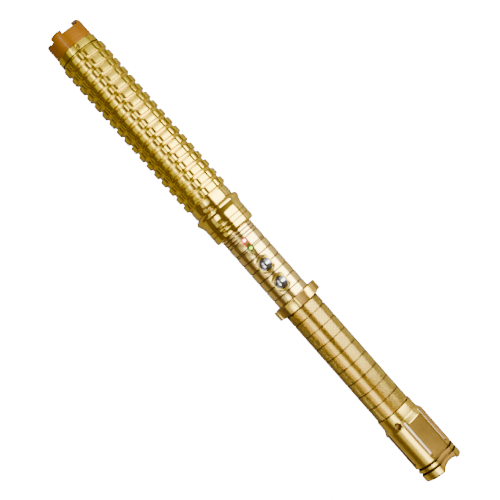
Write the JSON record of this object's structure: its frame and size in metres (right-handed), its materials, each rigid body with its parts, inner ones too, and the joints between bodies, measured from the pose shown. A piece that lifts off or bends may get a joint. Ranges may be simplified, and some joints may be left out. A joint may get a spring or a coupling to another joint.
{
  "type": "baton torch",
  "caption": "Long gold aluminium baton torch with a ribbed head, a toothed front bezel, push buttons, a guard ring, a knurled grip and a screw-off tail cap.",
  "frame": {"origin": "on the torch's axis at mid-length, which is the centre of its bounding box", "axes": "+X along the torch towards the lamp, +Z through the push buttons, +Y to the left of the buttons seen from the tail"},
  "size_m": [0.395, 0.0358, 0.0358],
  "materials": {
    "amber_gold_plate": "glossy amber anodised",
    "gold_anodised": "glossy yellow-gold anodised",
    "champagne_anodised": "satin champagne-gold anodised",
    "satin_gold": "satin gold anodised",
    "polished_chrome": "polished",
    "dark_steel": "blackened",
    "spring_steel": "bright drawn wire",
    "brass": "turned",
    "reflector_silvering": "vacuum-metallised",
    "lens_glass": "clear, coated",
    "seal_rubber": "matt moulded",
    "board_green": "solder-resist green",
    "led_phosphor": "yellow phosphor under a clear dome",
    "black_plastic": "moulded",
    "red_light_guide": "clear red, lit",
    "green_light_guide": "clear green, lit",
    "red_insulation": "extruded",
    "cell_wrap": "shrink sleeve over a metal can"
  },
  "bodies": {
    "torch": {"crown_bezel": "amber_gold_plate", "crown_tip_1": "dark_steel", "crown_tip_2": "dark_steel", "crown_tip_3": "dark_steel", "crown_tip_4": "dark_steel", "crown_tip_5": "dark_steel", "crown_tip_6": "dark_steel", "crown_tip_7": "dark_steel", "crown_tip_8": "dark_steel", "bezel_ring": "gold_anodised", "bezel_grub_screw": "dark_steel", "lens": "lens_glass", "lens_seal": "seal_rubber", "reflector": "reflector_silvering", "led_emitter": "led_phosphor", "led_board": "board_green", "heat_sink": "brass", "lamp_driver_board": "board_green", "head_body": "gold_anodised", "neck_ring": "gold_anodised", "flared_collar": "gold_anodised", "control_tube": "champagne_anodised", "red_indicator": "red_light_guide", "green_indicator": "green_light_guide", "power_button_spring": "spring_steel", "mode_button_spring": "spring_steel", "power_switch": "black_plastic", "mode_switch": "black_plastic", "control_board": "board_green", "board_cradle": "black_plastic", "lamp_lead_positive": "red_insulation", "lamp_lead_negative": "black_plastic", "guard_ring": "satin_gold", "grip_tube": "champagne_anodised", "tail_seal": "seal_rubber", "contact_insulator": "black_plastic", "front_contact": "brass", "front_cell": "cell_wrap", "rear_cell": "cell_wrap"},
    "power_button": {"power_button": "polished_chrome"},
    "mode_button": {"mode_button": "polished_chrome"},
    "tail_contact_stack": {"tail_contact": "brass", "tail_spring": "spring_steel"},
    "tail_cap": {"tail_cap": "satin_gold"}
  },
  "joints": [
    {"name": "power_button_press", "type": "slide", "parent": "torch", "child": "power_button", "axis": [0, 0, -1], "range_m": [0, 0.0008], "stiffness_N_per_m": 900, "springref_m": -0.001, "deforming": ["power_button_spring"]},
    {"name": "mode_button_press", "type": "slide", "parent": "torch", "child": "mode_button", "axis": [0, 0, -1], "range_m": [0, 0.0008], "stiffness_N_per_m": 900, "springref_m": -0.001, "deforming": ["mode_button_spring"]},
    {"name": "tail_cap_advance", "type": "slide", "parent": "torch", "child": "tail_contact_stack", "axis": [-1, 0, 0], "range_m": [0, 0.0075]},
    {"name": "tail_cap_turn", "type": "hinge", "parent": "tail_contact_stack", "child": "tail_cap", "pos_m": [-0.17, 0, 0], "axis": [-1, 0, 0], "range_deg": [0, 1800.5]}
  ],
  "couplings": [
    {"joint": "tail_cap_turn", "follows": "tail_cap_advance", "rad_per_m": 4188.8}
  ]
}
